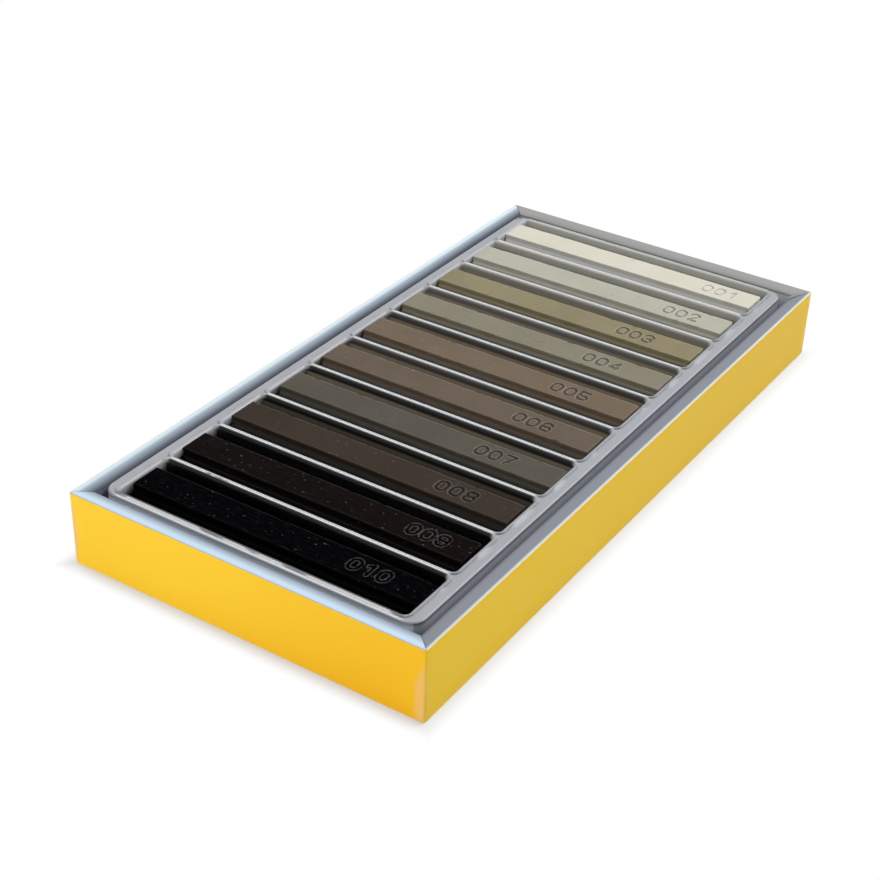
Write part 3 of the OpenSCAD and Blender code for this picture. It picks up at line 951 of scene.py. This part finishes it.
def wax_finish(name, colour, cloud_colour, roughness, bloom_and_highlight, sheen):
    """Soft wax: cloudy, with drag marks, flecks, spots, pits and worn edges, plus painted light, shade and
    highlights.
    """
    finish = Finish(name)
    place = finish.place()
    wear_and_highlight = finish.node("ShaderNodeAttribute", {"attribute_name": "wear_and_highlight"}).out("Fac")
    groove = finish.node("ShaderNodeAttribute", {"attribute_name": "groove"}).out("Fac")
    lips = finish.node("ShaderNodeAttribute", {"attribute_name": "lips"}).out("Fac")
    parts = finish.node("ShaderNodeSeparateXYZ", None, {0: place})
    row = parts.out("Y") * (1000 / stick_pitch) + 0.5
    across = (row - finish.maths("ROUND", row)) * stick_pitch
    in_gap = (parts.out("Z") * 1000 - cavity_floor_z).rise(4.2, 5.5)
    on_step = abs(across).rise(4.15, 4.3) * abs(across).rise(5.7, 5.2) * in_gap
    ledge_shade = abs(across).rise(4.7, 5.3) * in_gap
    ledge_lip_shade = across.rise(-5.9, -6.5) * in_gap
    near_ledge_shade = across.rise(-4.2, -4.8) * in_gap
    flank_shade = abs(across).rise(5.4, 6.3) * in_gap
    clouds = finish.cloud(place, 70, 4, 0.6).rise(0.3, 0.7)
    drag = finish.cloud(finish.stretched(place, (1, 7, 7)), 330, 3)
    specks = finish.cloud(place, 1900, 2).rise(0.70, 0.76)
    tone = finish.mix(clouds, colour, cloud_colour)
    paler = tuple(part + (1 - part) * bloom_and_highlight * 0.3 for part in colour)
    tone = finish.mix(drag.rise(0.50, 0.75) * 0.35, tone, paler)
    tone = finish.mix(specks * 0.30, tone, soot)
    flecks = finish.cloud(finish.stretched(place, (1, 2.2, 2.2)), 760, 1).rise(0.735, 0.765)
    tone = finish.mix(flecks * (0.05 + bloom_and_highlight * 0.5), tone, white)
    spots = finish.cloud(finish.stretched(place, (1, 1.7, 1.7)), 640, 1).rise(0.735, 0.765)
    tone = finish.mix(spots * 0.4, tone, soot)

    # Painted light: the step and hollow beside the band, up to 1.8 times lighter than the wax.
    step_light = tuple(min(0.95, part * 1.8) for part in colour[:3]) + (1,)
    tone = finish.mix(on_step * 0.8, tone, step_light)
    # Painted shade: the ledges, their lips and the flanks darken towards black down in the cavity's gap, the
    # pale waxes less.
    tone = finish.mix(ledge_shade * (0.78 - 0.7 * colour[0] ** 2), tone, black)
    tone = finish.mix(flank_shade * (0.86 - 0.7 * colour[0] ** 2), tone, black)
    tone = finish.mix(ledge_lip_shade * 0.5, tone, black)
    tone = finish.mix(near_ledge_shade * (0.97 - 0.8 * colour[0]), tone, black)
    # Painted highlight: a broken pale line along the band's far edge.
    far_edge_highlight = across.rise(3.75, 3.95) * across.rise(4.35, 4.25) * in_gap
    far_edge_highlight = far_edge_highlight * finish.cloud(place, 500, 2).rise(0.30, 0.5)
    tone = finish.mix(far_edge_highlight * (sheen * 0.32 + bloom_and_highlight * 0.15), tone, white)
    # Worn edges and chips paler; along the band's edges this is also a painted highlight.
    tone = finish.mix(wear_and_highlight * (bloom_and_highlight * 0.6 - 0.03), tone, white)
    # Painted shade in the engraved strokes, less on the pale waxes.
    tone = finish.mix(groove * (0.5 - 0.5 * colour[0] ** 2), tone, black)
    # Painted highlight, broken up, on the raised rims beside the strokes.
    grains = finish.cloud(place, 900, 2)
    tone = finish.mix(lips * grains.rise(0.30, 0.55) * (bloom_and_highlight * 1.1 + 0.04), tone, white)

    pits = grains.rise(0.24, 0.34)
    relief = pits * 0.5 + drag * 0.15 + finish.cloud(place, 240, 3) * 0.5
    shine = finish.cloud(place, 160, 3) * 0.14 + roughness - 0.07 + specks * 0.15
    return finish.surface(tone, shine, relief, relief_depth=0.00006, Specular_IOR_Level=sheen)


# Each row gives the band's colour, its cloudier colour, how dull the wax is, how pale its bloom, worn edges
# and painted edge highlights are, and how strongly it reflects, which also scales the painted highlight on
# the band's far edge.
waxes = [
    (colour_of(225, 222, 206), colour_of(218, 215, 198), 0.46, 0.35, 0.40),
    (colour_of(188, 188, 173), colour_of(181, 181, 165), 0.46, 0.25, 0.40),
    (colour_of(147, 137, 107), colour_of(140, 129, 98), 0.46, 0.14, 0.38),
    (colour_of(139, 133, 114), colour_of(133, 127, 108), 0.46, 0.14, 0.38),
    (colour_of(118, 102, 84), colour_of(111, 95, 77), 0.46, 0.11, 0.35),
    (colour_of(105, 90, 75), colour_of(99, 84, 69), 0.46, 0.11, 0.35),
    (colour_of(91, 86, 75), colour_of(85, 80, 69), 0.44, 0.10, 0.22),
    (colour_of(61, 51, 41), colour_of(55, 45, 36), 0.44, 0.08, 0.12),
    (colour_of(18, 9, 8), colour_of(13, 7, 7), 0.36, 0.07, 0.03),
    (colour_of(2, 2, 5), colour_of(1, 1, 4), 0.36, 0.06, 0.01),
]
for index, (colour, cloud_colour, roughness, bloom_and_highlight, sheen) in enumerate(waxes):
    label = "%02d" % (index + 1)
    node = "wax_stick_" + label
    points, faces, marks = wax_stick_mesh(index)
    points[:, 0] += inlay_rest_x + stick_shares[index] * stick_play
    points[:, 1] += row_middles[index]
    points[:, 2] += cavity_floor_z
    wax = wax_finish("wax_" + label, colour, cloud_colour, roughness, bloom_and_highlight, sheen)
    stick = made_piece("stick_" + label, points, faces, wax, sharp_angle=55)
    for mark, values in marks.items():
        attribute = stick.data.attributes.new(mark, "FLOAT", "POINT")
        attribute.data.foreach_set("value", values.astype(np.float32))
    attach(stick, node)
    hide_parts(node)
    "wax_" + label
